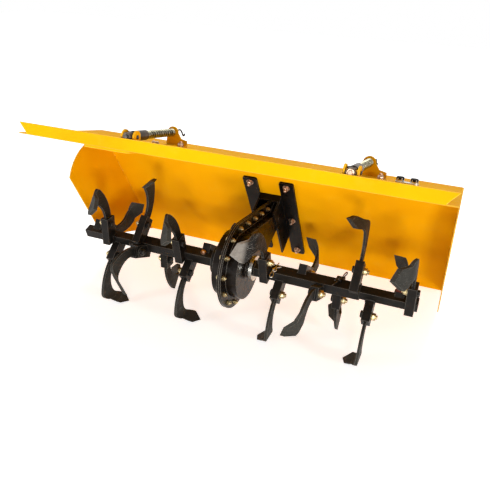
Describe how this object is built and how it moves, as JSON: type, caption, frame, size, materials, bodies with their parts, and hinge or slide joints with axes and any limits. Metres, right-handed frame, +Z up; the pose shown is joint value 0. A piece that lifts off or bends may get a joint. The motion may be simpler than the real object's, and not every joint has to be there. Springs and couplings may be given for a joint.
{
  "type": "rotary tiller",
  "caption": "Centre-driven rotary tiller head: bent yellow hood with end plates and spring struts, a chain case at the middle and a turning rotor with curved bolted blades.",
  "frame": {"origin": "on the floor under the middle of the outline's box, with the head standing on its lowest blades and the hood's rear edge", "axes": "+X along the rotor, +Y to the rear where the hood slopes down and the drive flange is, +Z up"},
  "size_m": [1.206, 0.7128, 0.6443],
  "materials": {
    "yellow_paint": "satin powder coat",
    "black_paint": "satin black paint",
    "blade_steel": "matt dark grey dip paint",
    "bright_steel": "turned, zinc plated",
    "spring_steel": "zinc plated wire",
    "dark_sleeve": "dark painted steel tube"
  },
  "bodies": {
    "hood": {"case_bracket": "black_paint", "chain_case_left": "black_paint", "chain_case_right": "black_paint", "drive_neck": "black_paint", "end_plate_left": "yellow_paint", "end_plate_right": "yellow_paint", "hood_sheet": "yellow_paint", "link_bar": "bright_steel", "mounting_bar_left": "black_paint", "mounting_bar_right": "black_paint", "strut_clevis_left": "yellow_paint", "strut_clevis_right": "yellow_paint", "strut_rod_left": "dark_sleeve", "strut_rod_right": "dark_sleeve", "strut_spring_left": "spring_steel", "strut_spring_right": "spring_steel", "strut_tower_left": "yellow_paint", "strut_tower_right": "yellow_paint"},
    "rotor": {"blade_left_1": "blade_steel", "blade_left_2": "blade_steel", "blade_left_3": "blade_steel", "blade_left_4": "blade_steel", "blade_left_5": "blade_steel", "blade_left_6": "blade_steel", "blade_left_7": "blade_steel", "blade_left_8": "blade_steel", "blade_left_9": "blade_steel", "blade_right_1": "blade_steel", "blade_right_2": "blade_steel", "blade_right_3": "blade_steel", "blade_right_4": "blade_steel", "blade_right_5": "blade_steel", "blade_right_6": "blade_steel", "blade_right_7": "blade_steel", "blade_right_8": "blade_steel", "blade_right_9": "blade_steel", "inner_tube_left": "black_paint", "inner_tube_right": "black_paint", "outer_tube_left": "black_paint", "outer_tube_right": "black_paint", "rotor_shaft": "black_paint", "shaft_collar_left": "black_paint", "shaft_collar_right": "bright_steel"}
  },
  "joints": [
    {"name": "rotor_spin", "type": "hinge", "parent": "hood", "child": "rotor", "pos_m": [0, -0.14121, 0.21408], "axis": [1, 0, 0], "continuous": true}
  ]
}
